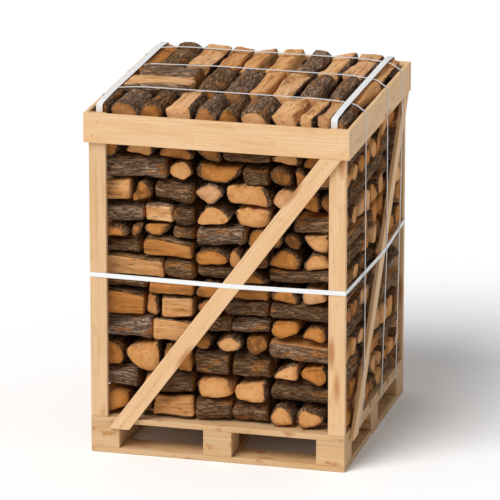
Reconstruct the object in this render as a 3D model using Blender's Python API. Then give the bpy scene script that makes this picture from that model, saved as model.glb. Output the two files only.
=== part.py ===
"""Crate of split firewood on a block pallet, tied with strapping.

Metres, +Z up. The origin is the middle of the footprint at floor level, and the front looks along -Y.
The pallet carries four corner posts, the posts carry rails and braces, and the wood is stacked between
them in crosswise courses with one heaped layer of logs on top.
"""

import random

import bmesh
import bpy

# Air between pieces that touch
GAP = 0.0003

# Pallet
PALLET = 1.000
BOARD = 0.022
BLOCK_HEIGHT = 0.078
BLOCK_X = 0.112
BLOCK_Y = 0.118
DECK_BOARDS = 7
DECK_BOARD_WIDTH = 0.118
HALF = PALLET / 2
BLOCK_BASE = BOARD
STRINGER_BASE = BLOCK_BASE + BLOCK_HEIGHT
DECK_BASE = STRINGER_BASE + BOARD
DECK_TOP = DECK_BASE + BOARD

# Crate frame of sawn boards, all nailed on from outside
STICK_WIDTH = 0.066
SLAT = 0.016
RAIL_HEIGHT = 0.116
RAIL_TOP = 1.353
RAIL_BASE = RAIL_TOP - RAIL_HEIGHT
POST_TOP = RAIL_TOP - 0.003
BRACE_FOOT = -0.386
BRACE_HEAD = 0.443
BRACE_BASE = STRINGER_BASE + 0.003
BRACE_HALF_WIDTH = 0.041
OUTER = HALF + GAP + SLAT
EASED_EDGE = 0.002

# Strapping
STRAP = 0.0009
WIDE_STRAP = 0.025
NARROW_STRAP = 0.012
LEVEL_STRAP = 0.018
LEVEL_STRAP_Z = 0.713
WIDE_STRAP_X = {"left": -0.464, "right": 0.447}
NARROW_STRAP_Y = {"front": -0.250, "middle": 0.110, "back": 0.362}

# Stacked wood
WOOD_BASE = DECK_TOP + STRAP + 2 * GAP
COURSES = 15
COURSE_HEIGHT = 0.078
WOOD_TOP = WOOD_BASE + COURSES * COURSE_HEIGHT
FACE_X = 0.4990
FACE_Y = 0.4740
UNEVEN = 0.009
NOTCH = 0.014
ROUNDING = 0.011
BAYS_X = (-0.490, -0.100, 0.190, 0.490)
BAYS_Y = (-0.466, -0.160, 0.150, 0.466)

# Heaped top layer: rows from front to back, each with the edges between its logs
TOP_LOG = 0.074
LEVEL_X = 0.33
FALL_X = 0.16
LEVEL_Y = 0.38
FALL_Y = 0.10
CROWN = 0.005
SIDE_FALL = 0.016
END_FALL = 0.006
DIP = 0.020
OUTER_DIP = 0.012
SHOULDER = 0.24
END_DROP = 0.006
END_EASE = 0.012
TOP_ROWS = {
    "front": (-0.4740, -0.2053),
    "middle": (-0.2050, 0.1347),
    "back": (0.1350, 0.4740),
}
TOP_EDGES = {
    "front": (-0.490, -0.432, -0.316, -0.222, -0.108, -0.005, 0.076, 0.192, 0.303, 0.440, 0.490),
    "middle": (-0.490, -0.190, -0.070, 0.030, 0.124, 0.217, 0.325, 0.425, 0.490),
    "back": (-0.490, -0.410, -0.303, -0.185, -0.090, 0.016, 0.121, 0.220, 0.325, 0.424, 0.490),
}
CROSS_EDGES = (-0.2050, -0.0300, 0.1347)


def material(name, colour, roughness):
    made = bpy.data.materials.new(name)
    made.use_nodes = True
    shader = made.node_tree.nodes["Principled BSDF"]
    shader.inputs["Base Color"].default_value = (*colour, 1.0)
    shader.inputs["Roughness"].default_value = roughness
    shader.inputs["Metallic"].default_value = 0.0
    return made


def add_object(name, shape, finish, location=(0, 0, 0)):
    mesh = bpy.data.meshes.new(name)
    bmesh.ops.recalc_face_normals(shape, faces=shape.faces)
    shape.to_mesh(mesh)
    shape.free()
    mesh.materials.append(finish)
    made = bpy.data.objects.new(name, mesh)
    made.location = location
    bpy.context.collection.objects.link(made)
    return made


def ease_edges(piece):
    bevel = piece.modifiers.new("eased edges", "BEVEL")
    bevel.width = EASED_EDGE
    bevel.segments = 1


def board(name, low, high, finish):
    """A sawn board between two opposite corners, its top edge kept clear of what lies on it."""
    size = [b - a for a, b in zip(low, high)]
    centre = [(a + b) / 2 for a, b in zip(low, high)]
    shape = bmesh.new()
    bmesh.ops.create_cube(shape, size=1.0)
    bmesh.ops.scale(shape, vec=size, verts=shape.verts)
    ease_edges(add_object(name, shape, finish, centre))


def make_pallet(pine):
    ends = HALF - BLOCK_X
    columns = {"left": (-HALF, -ends), "centre": (-BLOCK_X / 2, BLOCK_X / 2), "right": (ends, HALF)}
    deep = HALF - BLOCK_Y
    rows = {"front": (-HALF, -deep), "middle": (-BLOCK_Y / 2, BLOCK_Y / 2), "back": (deep, HALF)}
    for row in ("front", "back"):
        y0, y1 = rows[row]
        board(f"bottom_board_{row}", (-HALF, y0, 0), (HALF, y1, BLOCK_BASE - GAP), pine)
    for column, (x0, x1) in columns.items():
        board(f"bottom_board_{column}", (x0, -deep + GAP, 0), (x1, deep - GAP, BLOCK_BASE - GAP), pine)
        board(f"stringer_{column}", (x0, -HALF, STRINGER_BASE), (x1, HALF, DECK_BASE - GAP), pine)
        for row, (y0, y1) in rows.items():
            board(f"block_{row}_{column}", (x0, y0, BLOCK_BASE), (x1, y1, STRINGER_BASE - GAP), pine)
    step = (PALLET - DECK_BOARD_WIDTH) / (DECK_BOARDS - 1)
    for index in range(DECK_BOARDS):
        y0 = -HALF + index * step
        y1 = y0 + DECK_BOARD_WIDTH
        board(f"deck_board_{index + 1}", (-HALF, y0, DECK_BASE), (HALF, y1, DECK_TOP - GAP), pine)


def brace_edge(z):
    """Centre line of a brace, measured along its side, at a height."""
    share = (z - BRACE_BASE) / (RAIL_BASE - BRACE_BASE)
    return BRACE_FOOT + share * (BRACE_HEAD - BRACE_FOOT)


def brace(name, to_world, finish):
    """A board cut level at both ends, on the outer face that to_world maps (along, out, z) to."""
    shape = bmesh.new()
    outline = []
    for z, signs in ((BRACE_BASE, (-1, 1)), (RAIL_BASE - GAP, (1, -1))):
        for sign in signs:
            along = brace_edge(z) + sign * BRACE_HALF_WIDTH
            outline.append(shape.verts.new(to_world(along, HALF + GAP, z)))
    face = shape.faces.new(outline)
    grown = bmesh.ops.extrude_face_region(shape, geom=[face])
    corners = [item for item in grown["geom"] if isinstance(item, bmesh.types.BMVert)]
    start, end = to_world(0, HALF + GAP, 0), to_world(0, OUTER, 0)
    bmesh.ops.translate(shape, verts=corners, vec=[b - a for a, b in zip(start, end)])
    ease_edges(add_object(name, shape, finish))


def make_frame(pine):
    for front_name, y_side in (("front", -1), ("back", 1)):
        y0, y1 = sorted((y_side * (HALF - BOARD), y_side * HALF))
        for side_name, x_side in (("left", -1), ("right", 1)):
            x0, x1 = sorted((x_side * (HALF - STICK_WIDTH), x_side * HALF))
            board(f"post_{front_name}_{side_name}", (x0, y0, DECK_TOP), (x1, y1, POST_TOP), pine)
        y0, y1 = sorted((y_side * (HALF + GAP), y_side * OUTER))
        board(f"rail_{front_name}", (-OUTER, y0, RAIL_BASE), (OUTER, y1, RAIL_TOP), pine)
        brace(f"brace_{front_name}", lambda s, out, z, side=y_side: (s, side * out, z), pine)
    for side_name, x_side in (("left", -1), ("right", 1)):
        x0, x1 = sorted((x_side * (HALF + GAP), x_side * OUTER))
        board(f"rail_{side_name}", (x0, -HALF, RAIL_BASE), (x1, HALF, RAIL_TOP), pine)
        brace(f"brace_{side_name}", lambda s, out, z, side=x_side: (side * out, s, z), pine)


def course_spans(bays, crosswise):
    """Log edges along one side: three log ends in every second bay and one long log in the others."""
    spans = []
    for index, (start, end) in enumerate(zip(bays, bays[1:])):
        count = 3 if (index + crosswise) % 2 == 0 else 1
        width = (end - start) / count
        spans += [(start + n * width, start + (n + 1) * width) for n in range(count)]
    return spans


def course(name, index, finish, dice):
    """One course: a lumpy slab whose outline dips between the logs and whose edges are rounded off."""
    base = WOOD_BASE + index * COURSE_HEIGHT
    levels = (
        (base, ROUNDING),
        (base + COURSE_HEIGHT / 2, 0.0),
        (base + COURSE_HEIGHT - GAP, ROUNDING),
    )
    sides = (
        (BAYS_X, FACE_Y, index, lambda s, out: (s, -out)),
        (BAYS_Y, FACE_X, index + 1, lambda s, out: (out, s)),
        (BAYS_X, FACE_Y, index, lambda s, out: (-s, out)),
        (BAYS_Y, FACE_X, index + 1, lambda s, out: (-out, -s)),
    )
    outline = []
    for bays, face, crosswise, to_plan in sides:
        spans = course_spans(bays, crosswise)
        for number, (start, end) in enumerate(spans):
            out = face - dice.uniform(0, UNEVEN)
            outline.append((start + ROUNDING, out, to_plan))
            outline.append((end - ROUNDING, out, to_plan))
            if number < len(spans) - 1:
                outline.append((end, out - NOTCH, to_plan))
    shape = bmesh.new()
    rings = []
    for z, inset in levels:
        rings.append([shape.verts.new((*to_plan(s, out - inset), z)) for s, out, to_plan in outline])
    for lower, upper in zip(rings, rings[1:]):
        for n in range(len(outline)):
            after = (n + 1) % len(outline)
            shape.faces.new((lower[n], lower[after], upper[after], upper[n]))
    shape.faces.new(rings[0][::-1])
    shape.faces.new(rings[-1])
    add_object(name, shape, finish)


def ridge_points(edges):
    """Stations across a row of logs, each with how far the surface dips there."""
    stations = [(edges[0], OUTER_DIP)]
    for start, end in zip(edges, edges[1:]):
        shoulder = SHOULDER * (end - start)
        stations += [(start + shoulder, 0.0), (end - shoulder, 0.0), (end, DIP)]
    stations[-1] = (edges[-1], OUTER_DIP)
    return stations


def heap(x, y):
    """Height of the log tops: nearly level in the middle, falling off towards the side rails and ends."""
    across = max(0.0, abs(x) - LEVEL_X) / FALL_X
    along = max(0.0, abs(y) - LEVEL_Y) / FALL_Y
    return WOOD_TOP + TOP_LOG + CROWN - SIDE_FALL * across ** 2 - END_FALL * along


def top_surface(row, x, y):
    """Height of the heaped layer at a point of one row."""
    if row == "middle" and x < TOP_EDGES["middle"][1]:
        stations, place = ridge_points(CROSS_EDGES), y
    else:
        stations, place = ridge_points(TOP_EDGES[row]), x
    for (a, dip_a), (b, dip_b) in zip(stations, stations[1:]):
        if a <= place <= b:
            dip = dip_a + (dip_b - dip_a) * (place - a) / (b - a)
            break
    else:
        dip = OUTER_DIP
    ends = END_DROP if y in TOP_ROWS[row] else 0.0
    return heap(x, y) - dip - ends


def top_row(row, finish):
    """One row of the heaped layer: a closed slab whose top is the ridges of its logs."""
    y0, y1 = TOP_ROWS[row]
    xs = [x for x, dip in ridge_points(TOP_EDGES[row])]
    if row == "middle":
        ys = [y for y, dip in ridge_points(CROSS_EDGES)]
    else:
        ys = [y0, y0 + END_EASE, y1 - END_EASE, y1]
    shape = bmesh.new()
    grid = [[shape.verts.new((x, y, top_surface(row, x, y))) for x in xs] for y in ys]
    for near, far in zip(grid, grid[1:]):
        for n in range(len(xs) - 1):
            shape.faces.new((near[n], near[n + 1], far[n + 1], far[n]))
    rim = grid[0] + [line[-1] for line in grid[1:]] + grid[-1][-2::-1] + [line[0] for line in grid[-2:0:-1]]
    floor = [shape.verts.new((v.co.x, v.co.y, WOOD_TOP)) for v in rim]
    for n in range(len(rim)):
        after = (n + 1) % len(rim)
        shape.faces.new((floor[n], floor[after], rim[after], rim[n]))
    shape.faces.new(floor[::-1])
    add_object(f"top_logs_{row}", shape, finish)


def make_wood(wood):
    dice = random.Random(11)
    for index in range(COURSES):
        course(f"firewood_course_{index + 1:02d}", index, wood, dice)
    for row in TOP_ROWS:
        top_row(row, wood)


def taut_loop(corners):
    """The convex outline, anticlockwise, that a tight strap takes round the corners it crosses."""
    ordered = sorted(set(corners))

    def chain(path):
        kept = []
        for point in path:
            while len(kept) > 1:
                (ax, ay), (bx, by) = kept[-2:]
                turn = (bx - ax) * (point[1] - ay) - (by - ay) * (point[0] - ax)
                if turn > 1e-6:
                    break
                kept.pop()
            kept.append(point)
        return kept[:-1]

    return chain(ordered) + chain(ordered[::-1])


def grow(outline, distance):
    """An anticlockwise convex outline moved outwards, with mitred corners."""
    grown = []
    for before, point, after in zip(outline[-1:] + outline[:-1], outline, outline[1:] + outline[:1]):
        normals = []
        for (ax, ay), (bx, by) in ((before, point), (point, after)):
            length = ((bx - ax) ** 2 + (by - ay) ** 2) ** 0.5
            normals.append(((by - ay) / length, (ax - bx) / length))
        (nx, ny), (mx, my) = normals
        reach = distance / (1 + nx * mx + ny * my)
        grown.append((point[0] + (nx + mx) * reach, point[1] + (ny + my) * reach))
    return grown


def strap(name, corners, middle, width, to_world, finish):
    """A flat band pulled tight round the corners, lying in the plane that to_world maps (a, b, width) to."""
    path = taut_loop(corners)
    shape = bmesh.new()
    rings = []
    for distance, edge in ((GAP, -1), (GAP + STRAP, -1), (GAP + STRAP, 1), (GAP, 1)):
        across = middle + edge * width / 2
        rings.append([shape.verts.new(to_world(a, b, across)) for a, b in grow(path, distance)])
    for ring, other in zip(rings, rings[1:] + rings[:1]):
        for n in range(len(path)):
            after = (n + 1) % len(path)
            shape.faces.new((ring[n], ring[after], other[after], other[n]))
    add_object(name, shape, finish)


def level_strap_corners():
    """Plan corners that the level strap bears on: the posts, and the brace on each side."""
    corners = [(x * HALF, y * HALF) for x in (-1, 1) for y in (-1, 1)]
    for z in (LEVEL_STRAP_Z - LEVEL_STRAP / 2, LEVEL_STRAP_Z + LEVEL_STRAP / 2):
        for edge in (-1, 1):
            along = brace_edge(z) + edge * BRACE_HALF_WIDTH
            corners += [(along, -OUTER), (along, OUTER), (-OUTER, along), (OUTER, along)]
    return corners


def level_strap_reach(y):
    """How far out the level strap's outer face stands on the sides, at a place along them."""
    outline = grow(taut_loop(level_strap_corners()), GAP + STRAP)
    reach = 0.0
    for (ax, ay), (bx, by) in zip(outline, outline[1:] + outline[:1]):
        if min(ay, by) <= y <= max(ay, by) and ay != by:
            reach = max(reach, ax + (bx - ax) * (y - ay) / (by - ay))
    return reach


def narrow_strap_corners(row, y):
    """Corners in the cross section at y: log tops, side rails, braces, level strap, deck and stringers."""
    near, far = y - NARROW_STRAP / 2, y + NARROW_STRAP / 2
    half = [(HALF, STRINGER_BASE), (HALF, DECK_TOP), (OUTER, RAIL_BASE), (OUTER, RAIL_TOP)]
    reach = max(level_strap_reach(near), level_strap_reach(far))
    half += [(reach, LEVEL_STRAP_Z + edge * LEVEL_STRAP / 2) for edge in (-1, 1)]
    slope = (RAIL_BASE - BRACE_BASE) / (BRACE_HEAD - BRACE_FOOT)
    for place in (near - BRACE_HALF_WIDTH, far + BRACE_HALF_WIDTH):
        z = BRACE_BASE + slope * (place - BRACE_FOOT)
        half.append((OUTER, min(max(z, BRACE_BASE), RAIL_BASE)))
    corners = half + [(-x, z) for x, z in half]
    for place in (near, y, far):
        rows = [name for name, (y0, y1) in TOP_ROWS.items() if y0 <= place <= y1]
        for name in rows or [row]:
            xs = {x for x, dip in ridge_points(TOP_EDGES[name])}
            corners += [(x, top_surface(name, x, place)) for x in xs]
    return corners


def outline_height(outline, place):
    """Highest point of a closed outline above a place on its first axis."""
    height = 0.0
    for (ax, ay), (bx, by) in zip(outline, outline[1:] + outline[:1]):
        if min(ax, bx) <= place <= max(ax, bx) and ax != bx:
            height = max(height, ay + (by - ay) * (place - ax) / (bx - ax))
    return height


def wide_strap_corners(x, narrow_outlines):
    """Corners in the long section at x: the wood's foot and faces, the log tops and the narrow straps."""
    near, far = x - WIDE_STRAP / 2, x + WIDE_STRAP / 2
    corners = []
    for y in (-FACE_Y, FACE_Y):
        corners += [(y, WOOD_BASE), (y, RAIL_TOP)]
    for row, (y0, y1) in TOP_ROWS.items():
        inner = min(abs(near), abs(far))
        corners += [(y, heap(inner, y)) for y in (y0 + END_EASE, (y0 + y1) / 2, y1 - END_EASE)]
        corners += [(y, heap(inner, y) - END_DROP) for y in (y0, y1)]
    for y, outline in narrow_outlines:
        height = max(outline_height(outline, near), outline_height(outline, far))
        corners += [(y + edge * NARROW_STRAP / 2, height) for edge in (-1, 1)]
    return corners


def make_straps(wide_finish, narrow_finish):
    strap("level_strap", level_strap_corners(), LEVEL_STRAP_Z, LEVEL_STRAP,
          lambda a, b, z: (a, b, z), wide_finish)
    narrow_outlines = []
    for row, y in NARROW_STRAP_Y.items():
        corners = narrow_strap_corners(row, y)
        narrow_outlines.append((y, grow(taut_loop(corners), GAP + STRAP)))
        strap(f"narrow_strap_{row}", corners, y, NARROW_STRAP, lambda a, b, w: (a, w, b), narrow_finish)
    for side, x in WIDE_STRAP_X.items():
        corners = wide_strap_corners(x, narrow_outlines)
        strap(f"wide_strap_{side}", corners, x, WIDE_STRAP, lambda a, b, w: (w, a, b), wide_finish)


def main():
    for old in list(bpy.data.objects):
        bpy.data.objects.remove(old)
    pine = material("pine", (0.79, 0.55, 0.33), 0.62)
    wood = material("firewood", (0.34, 0.18, 0.08), 0.85)
    white = material("white_strap", (0.86, 0.86, 0.85), 0.45)
    grey = material("grey_strap", (0.62, 0.62, 0.60), 0.50)
    make_pallet(pine)
    make_frame(pine)
    make_wood(wood)
    make_straps(white, grey)


main()
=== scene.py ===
"""Crate of split firewood on a block pallet: the finish of its boards, logs, straps and nails."""

import itertools
import math
import random

import bpy
import numpy as np
from bpy.props import FloatProperty, FloatVectorProperty, IntProperty, PointerProperty
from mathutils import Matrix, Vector


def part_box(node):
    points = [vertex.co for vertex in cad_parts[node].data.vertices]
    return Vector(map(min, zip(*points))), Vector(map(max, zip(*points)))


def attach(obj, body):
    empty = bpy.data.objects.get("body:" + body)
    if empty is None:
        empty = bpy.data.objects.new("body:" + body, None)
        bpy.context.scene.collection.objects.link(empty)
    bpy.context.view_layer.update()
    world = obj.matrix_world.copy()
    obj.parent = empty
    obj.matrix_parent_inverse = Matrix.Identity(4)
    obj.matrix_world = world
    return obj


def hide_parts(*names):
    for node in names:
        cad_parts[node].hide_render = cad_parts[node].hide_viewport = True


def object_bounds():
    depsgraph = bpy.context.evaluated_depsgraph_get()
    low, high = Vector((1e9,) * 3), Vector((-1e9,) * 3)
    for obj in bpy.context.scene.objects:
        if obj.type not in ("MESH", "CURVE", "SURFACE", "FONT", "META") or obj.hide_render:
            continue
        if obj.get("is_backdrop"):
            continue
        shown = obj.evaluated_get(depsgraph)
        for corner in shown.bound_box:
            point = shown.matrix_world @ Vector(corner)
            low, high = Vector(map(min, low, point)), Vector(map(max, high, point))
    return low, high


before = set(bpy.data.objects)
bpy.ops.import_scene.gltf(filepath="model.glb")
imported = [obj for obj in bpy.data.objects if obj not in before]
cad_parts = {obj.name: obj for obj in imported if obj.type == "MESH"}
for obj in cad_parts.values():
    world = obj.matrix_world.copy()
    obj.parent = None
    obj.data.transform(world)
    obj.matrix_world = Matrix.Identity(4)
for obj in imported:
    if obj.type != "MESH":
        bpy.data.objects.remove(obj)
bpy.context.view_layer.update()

bl_info = {
    "name": "Crate of firewood",
    "version": (1, 0, 0),
    "blender": (4, 5, 0),
    "location": "View3D > Sidebar > Firewood",
    "description": "Dresses a packed crate of split firewood with logs, sawn boards, straps and nails",
    "category": "Object",
}

BODY = "root"
MM = 0.001
TURN = math.tau
GRAIN_X, GRAIN_Y, GRAIN_Z = (1, 0, 0), (0, 1, 0), (0, 0, 1)
ROWS = ("front", "middle", "back")

# Starts of the random choices about the boards and the nails
FRAME_SEED, PALLET_SEED, NAIL_SEED = 21, 22, 23

# Knots for each metre along and across the grain, and strength of the stains
FRAME_WEAR = ((2.6, 11, 11), 0.15)
PALLET_WEAR = ((8, 18, 6), 0.75)

# Distance between year rings on a board's sawn ends
END_RING = 0.0055

# Thickness of the straps, depth of their ribs as a share of it, and the level cut of a brace
STRAP = 0.0009
RIB = 0.16
BRACE_FOOT = 0.082

# Faces that meet at more than these angles keep a sharp edge
LOG_CREASE = math.radians(42)
STRAP_CREASE = math.radians(50)

# The stage: half the floor's width, its drop below the pallet, and the lamp's direction and softness
FLOOR_HALF = 60.0
FLOOR_DROP = 0.0004
LAMP_TURN, LAMP_RISE, LAMP_SPREAD = math.radians(-30), math.radians(50), math.radians(36)

# Colours inside the materials, beside those that the panel offers
PALE_WOOD = (0.86, 0.55, 0.33)
# Grey bark's colours: the furrow colour is partly painted shade, the ridge colour partly a painted
# highlight
GREY_FURROW = (0.062, 0.036, 0.022)
GREY_RIDGE = (0.470, 0.330, 0.245)
RUST_DARK = (0.110, 0.036, 0.009)
RUST_LIGHT = (0.480, 0.190, 0.046)
FIBRE_BROWN = (0.220, 0.085, 0.022)
STAIN_BROWN = (0.135, 0.052, 0.016)
SEAM_BROWN = (0.075, 0.026, 0.008)
BLOTCH_BROWN = (0.200, 0.070, 0.018)
CRACK_BROWN = (0.075, 0.030, 0.010)
KNOT_BROWN = (0.40, 0.150, 0.040)
BOARD_STAIN = (0.42, 0.175, 0.050)
NAIL_GREY = (0.30, 0.27, 0.22)
NAIL_RUST = (0.26, 0.13, 0.06)
FLOOR_WHITE = (0.96, 0.96, 0.96, 1.0)
SKY_WHITE = (1.0, 1.0, 1.0, 1.0)

# The stack, measured from the frame
COURSES = sorted(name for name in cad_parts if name.startswith("firewood_course_"))
WOOD_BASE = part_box(COURSES[0])[0].z
WOOD_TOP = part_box(COURSES[-1])[1].z
COURSE_HEIGHT = (WOOD_TOP - WOOD_BASE) / len(COURSES)
POST_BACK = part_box("post_front_left")[1].y
RAIL_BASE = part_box("rail_left")[0].z
RAIL_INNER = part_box("rail_right")[0].x
FACE_X = RAIL_INNER - 0.0010
FACE_Y = -POST_BACK - 0.0042
HEAP_CREST = max(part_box(f"top_logs_{row}")[1].z for row in ROWS)

# The left side near the front, where the logs bulge outwards except at the level strap
BULGE_BACK, BULGE_BASE, BULGE = -0.29, 0.40, 0.0130
STRAP_LEVEL, STRAP_CLEAR = 0.713, 0.03

# Edges of the bays: across the crate for each row from the front, into it for each column from the left
ROW_BAYS = (
    (-0.495, -0.101, 0.191, 0.496),
    (-0.495, -0.150, 0.140, 0.496),
    (-0.495, -0.190, 0.110, 0.496),
)
COLUMN_BAYS = (
    (-0.470, -0.158, 0.151, 0.470),
    (-0.470, -0.172, 0.130, 0.470),
    (-0.470, -0.150, 0.160, 0.470),
)

# The front of the stack from the bottom up: the height of each layer in millimetres, then its logs from
# left to right as shape, tone and width in millimetres. Bark and split logs lie along the front.
FRONT_LEFT = (
    (95, "wedge orange 130 | round dark 88 | split tan 165"),
    (90, "bark grey 165 | quarter orange 55 | bark dark 160"),
    (113, "quarter orange 115 | bowl light 150 | round brown 60 | quarter orange 65"),
    (102, "bark pink 225 | split light 165"),
    (98, "split orange 200 | wedge grey 50 | split light 145"),
    (48, "bark brown 200 | split brown 190"),
    (90, "split light 270 | bark brown 125"),
    (80, "bark dark 190 | split orange 200"),
    (56, "quarter orange 140 | round brown 50 | bowl orange 110 | bark dark 92"),
    (84, "bark grey 195 | split pale 118 | bark dark 80"),
    (86, "split light 140 | half brown 95 | bark brown 160"),
    (86, "bark grey 295 | round light 102"),
    (78, "round brown 112 | half light 135 | half orange 150"),
    (66, "bark brown 200 | round dark 90 | half tan 100"),
)
FRONT_MIDDLE = (
    (89, "bark dark 142 | bark dark 148"),
    (90, "plank light 152 | wedge light 138"),
    (97, "bark dark 140 | bark dark 150"),
    (80, "round brown 75 | round light 120 | wedge dark 95"),
    (64, "bark brown 145 | bark grey 145"),
    (70, "round orange 110 | bark dark 180"),
    (72, "half brown 140 | split brown 150"),
    (62, "bark dark 150 | quarter orange 140"),
    (71, "half orange 135 | round tan 55 | bark dark 100"),
    (87, "bark pale 200 | round brown 90"),
    (83, "half light 142 | plank light 148"),
    (83, "round pink 110 | plank light 180"),
    (78, "bowl orange 190 | bark dark 100"),
    (72, "round brown 110 | bark dark 180"),
    (72, "bark brown 290"),
)
FRONT_RIGHT = (
    (90, "half light 115 | round light 115 | quarter orange 75"),
    (90, "bark dark 305"),
    (85, "quarter light 125 | wedge orange 115 | half tan 65"),
    (80, "bark grey 305"),
    (75, "wedge orange 122 | half orange 108 | round tan 75"),
    (72, "bark dark 305"),
    (70, "half orange 120 | wedge pink 115 | quarter tan 70"),
    (70, "bark dark 305"),
    (70, "half orange 128 | quarter light 118 | round brown 59"),
    (73, "round brown 55 | round dark 85 | bowl light 110 | wedge tan 55"),
    (82, "round orange 95 | bark brown 210"),
    (90, "plank pink 115 | half orange 80 | round dark 110"),
    (83, "round dark 100 | quarter orange 60 | split tan 145"),
    (70, "half light 125 | half orange 110 | round dark 70"),
    (70, "bark grey 305"),
)

# The heaped layer: rows from front to back, each log as face, tone and width in millimetres
TOP_ROWS = {
    "front":
    "bark brown 58 | bark grey 116 | bark brown 94 | split pale 114 | bark grey 103 | bark brown 81"
    " | bark pale 116 | split pale 111 | split pale 68 | split pink 69 | bark grey 50",
    "middle":
    "bark brown 120 | bark grey 100 | split light 94 | split pale 93 | bark pale 108 | bark grey 100"
    " | split light 65",
    "back":
    "split orange 80 | bark brown 107 | split pale 118 | split tan 95 | split light 106 | split light 105"
    " | bark grey 99 | split pale 105 | split pink 99 | split light 66",
}
CROSS_LOGS = ("split pale 190", "bark grey 150")
CROSS_WIDTH = 0.300

# Brightness of the bark, pinkness, and brightness of the wood for each tone
TONES = {
    "dark": (0.12, 0.15, 0.10),
    "brown": (0.48, 0.05, 0.30),
    "grey": (0.74, 0.60, 0.40),
    "orange": (0.42, 0.00, 0.44),
    "tan": (0.52, 0.25, 0.62),
    "light": (0.60, 0.20, 0.84),
    "pale": (0.95, 0.60, 0.97),
    "pink": (0.80, 1.00, 0.74),
}

# Cross sections in a unit box: corners anticlockwise, each with the bulge of the face that follows it and
# whether that face is bark. The last value is the pith of the tree.
SECTIONS = {
    "round": ((
        (-0.5, 0.02, 0.07, 1), (-0.27, -0.43, 0.07, 1), (0.23, -0.44, 0.07, 1), (0.5, 0.0, 0.07, 1),
        (0.25, 0.44, 0.07, 1), (-0.25, 0.42, 0.07, 1)), (0.06, -0.05)),
    "half": ((
        (-0.5, -0.45, 0.02, 0), (0.5, -0.5, 0.08, 1), (0.38, 0.16, 0.09, 1), (0.0, 0.5, 0.09, 1),
        (-0.40, 0.18, 0.08, 1)), (0.0, -0.5)),
    "quarter": ((
        (-0.5, -0.5, 0.02, 0), (0.46, -0.46, 0.10, 1), (0.26, 0.22, 0.10, 1), (-0.42, 0.5, 0.02, 0)),
        (-0.5, -0.5)),
    "wedge": ((
        (-0.5, -0.12, 0.02, 0), (0.28, -0.5, 0.05, 1), (0.5, -0.08, 0.04, 1), (0.42, 0.44, 0.02, 0),
        (-0.30, 0.40, 0.03, 0)), (-0.8, 0.1)),
    "slab": ((
        (-0.5, -0.5, 0.02, 0), (0.48, -0.46, 0.02, 0), (0.5, 0.20, 0.05, 1), (0.24, 0.47, 0.04, 1),
        (-0.24, 0.5, 0.05, 1), (-0.48, 0.16, 0.02, 1)), (0.0, -0.9)),
    "plank": ((
        (-0.5, -0.42, 0.02, 0), (0.08, -0.5, 0.02, 0), (0.48, -0.38, 0.03, 0), (0.5, 0.34, 0.02, 0),
        (0.02, 0.5, 0.02, 0), (-0.46, 0.36, 0.03, 1)), (0.2, -1.2)),
}


class LogSizes(bpy.types.PropertyGroup):
    seed: IntProperty(name="Seed", description="Start of every random choice about the logs", default=7)
    gap: FloatProperty(
        name="Gap", description="Air left between neighbouring logs", default=0.006, unit="LENGTH")
    stagger: FloatProperty(
        name="Stagger", description="How unevenly the log ends line up", default=0.016, unit="LENGTH")
    wander: FloatProperty(
        name="Wander", description="How far the layers stray from level", default=0.011, unit="LENGTH")
    bark_relief: FloatProperty(
        name="Bark relief", description="Depth of the furrows in the bark", default=0.0056, unit="LENGTH")
    split_relief: FloatProperty(
        name="Split relief", description="Waviness of the split faces", default=0.0080, unit="LENGTH")
    # The furrow colour is partly painted shade and the ridge colour partly a painted highlight
    bark_dark: FloatVectorProperty(
        name="Dark bark", description="Colour in the furrows", subtype="COLOR", size=3,
        default=(0.050, 0.021, 0.006))
    bark_light: FloatVectorProperty(
        name="Light bark", description="Colour on the ridges", subtype="COLOR", size=3,
        default=(0.480, 0.275, 0.140))
    wood_dark: FloatVectorProperty(
        name="Dark wood", description="Colour of the darkest split faces", subtype="COLOR", size=3,
        default=(0.140, 0.055, 0.014))
    wood_orange: FloatVectorProperty(
        name="Orange wood", description="Colour of the middling split faces", subtype="COLOR", size=3,
        default=(0.470, 0.178, 0.036))
    wood_light: FloatVectorProperty(
        name="Light wood", description="Colour of the palest split faces", subtype="COLOR", size=3,
        default=(0.720, 0.385, 0.150))


class BoardFinish(bpy.types.PropertyGroup):
    frame_colour: FloatVectorProperty(
        name="Frame pine", description="Colour of the crate's sawn boards", subtype="COLOR", size=3,
        default=(0.775, 0.522, 0.300))
    pallet_colour: FloatVectorProperty(
        name="Pallet pine", description="Colour of the pallet's boards", subtype="COLOR", size=3,
        default=(0.630, 0.420, 0.230))
    grain_spacing: FloatProperty(
        name="Grain spacing", description="Distance between year lines", default=0.009, unit="LENGTH")


class StrapFinish(bpy.types.PropertyGroup):
    wide_colour: FloatVectorProperty(
        name="Wide strap", description="Colour of the wide and level straps", subtype="COLOR", size=3,
        default=(0.860, 0.862, 0.858))
    narrow_colour: FloatVectorProperty(
        name="Narrow strap", description="Colour of the narrow straps", subtype="COLOR", size=3,
        default=(0.670, 0.668, 0.655))
    cord: FloatProperty(
        name="Cord", description="Width of one yarn in the strap", default=0.0022, unit="LENGTH")


class NailSizes(bpy.types.PropertyGroup):
    head: FloatProperty(name="Head", description="Diameter of a nail head", default=0.0052, unit="LENGTH")
    proud: FloatProperty(name="Proud", description="Height of a nail head", default=0.0005, unit="LENGTH")
    inset: FloatProperty(
        name="Inset", description="Distance of the nails from a board's edges", default=0.018,
        unit="LENGTH")


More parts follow.
